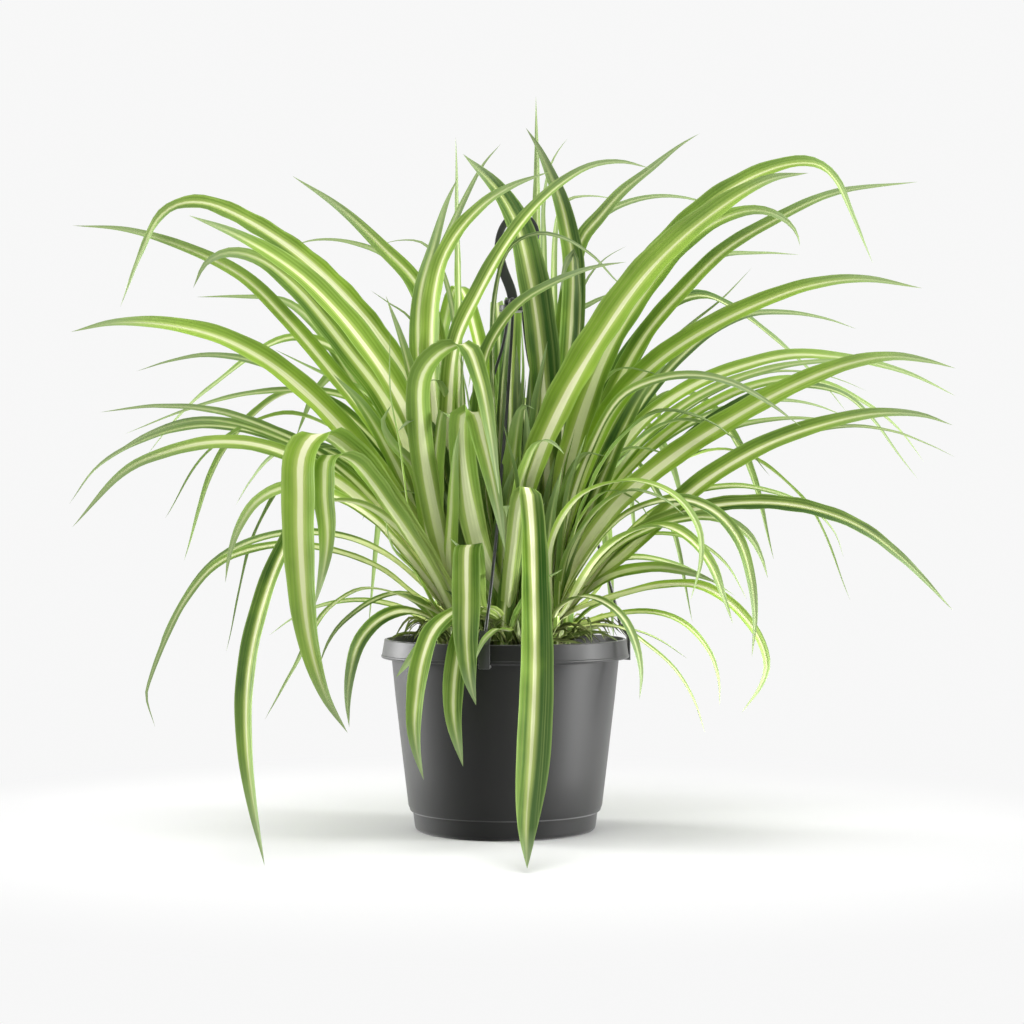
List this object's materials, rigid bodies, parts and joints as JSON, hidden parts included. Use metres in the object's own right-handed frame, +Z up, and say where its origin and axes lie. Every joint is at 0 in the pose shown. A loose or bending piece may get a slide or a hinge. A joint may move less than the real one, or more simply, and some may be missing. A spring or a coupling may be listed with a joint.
{
  "type": "potted spider plant",
  "caption": "Variegated spider plant with long arching striped leaves in a round plastic pot, with a clip-on hanger and hook.",
  "frame": {"origin": "middle of the pot's base, on the surface that it stands on", "axes": "+Z up along the pot's axis, front of the picture towards -Y, +X to the right"},
  "size_m": [0.6254, 0.4726, 0.5082],
  "materials": {
    "pot": "dark grey moulded polypropylene, satin",
    "hanger": "near-black moulded plastic, satin",
    "soil": "dark peat-based potting soil, rough and matt",
    "leaf": "smooth leaf, green margins with a cream stripe along the middle"
  },
  "bodies": {
    "root": {"pot": "pot", "soil": "soil", "hanger_hook": "hanger", "hanger_strand_front": "hanger", "hanger_strand_right": "hanger", "hanger_strand_back_left": "hanger", "crown_left_front": "leaf", "crown_front": "leaf", "crown_right_front": "leaf", "crown_left_back": "leaf", "crown_right_back": "leaf", "crown_back": "leaf"}
  },
  "joints": []
}
